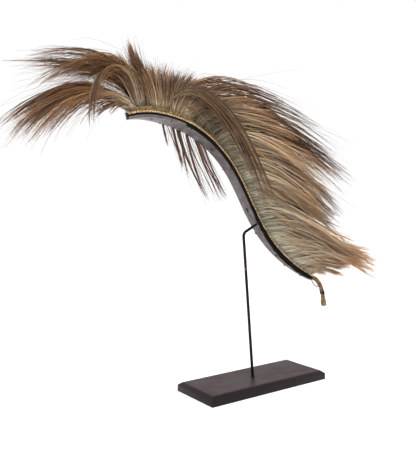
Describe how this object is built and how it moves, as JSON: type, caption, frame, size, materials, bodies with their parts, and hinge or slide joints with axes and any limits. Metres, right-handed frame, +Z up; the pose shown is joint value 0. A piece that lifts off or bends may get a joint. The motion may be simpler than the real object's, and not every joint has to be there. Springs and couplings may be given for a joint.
{
  "type": "hair roach headdress on a display stand",
  "caption": "Hair roach headdress with a woven base, tied on a curved bar that a bent rod holds above a chamfered block.",
  "frame": {"origin": "centre of the block's underside", "axes": "+X along the block's long side towards the tail of the headdress, +Y across the block to the far side, +Z up"},
  "size_m": [0.7088, 0.1445, 0.5643],
  "materials": {
    "block_paint": "satin",
    "rod_paint": "satin",
    "bar_paint": "satin",
    "felt": "matte",
    "woven_fibre": "matte",
    "tan_cord": "matte",
    "long_hair": "satin",
    "bristle_hair": "satin",
    "flank_hair": "satin"
  },
  "bodies": {
    "root": {"base_block": "block_paint", "support_rod": "rod_paint", "mount_bar": "bar_paint", "felt_strip": "felt", "woven_base": "woven_fibre", "edging_cord": "tan_cord", "front_plume": "long_hair", "crown_plume": "long_hair", "standing_tuft": "long_hair", "front_curl": "long_hair", "near_bristles": "bristle_hair", "loose_lock": "bristle_hair", "far_bristles": "bristle_hair", "crest": "long_hair", "near_flank": "flank_hair", "far_flank": "flank_hair", "hanging_locks": "long_hair", "tail_cord": "tan_cord", "tail_wrap": "tan_cord"}
  },
  "joints": []
}
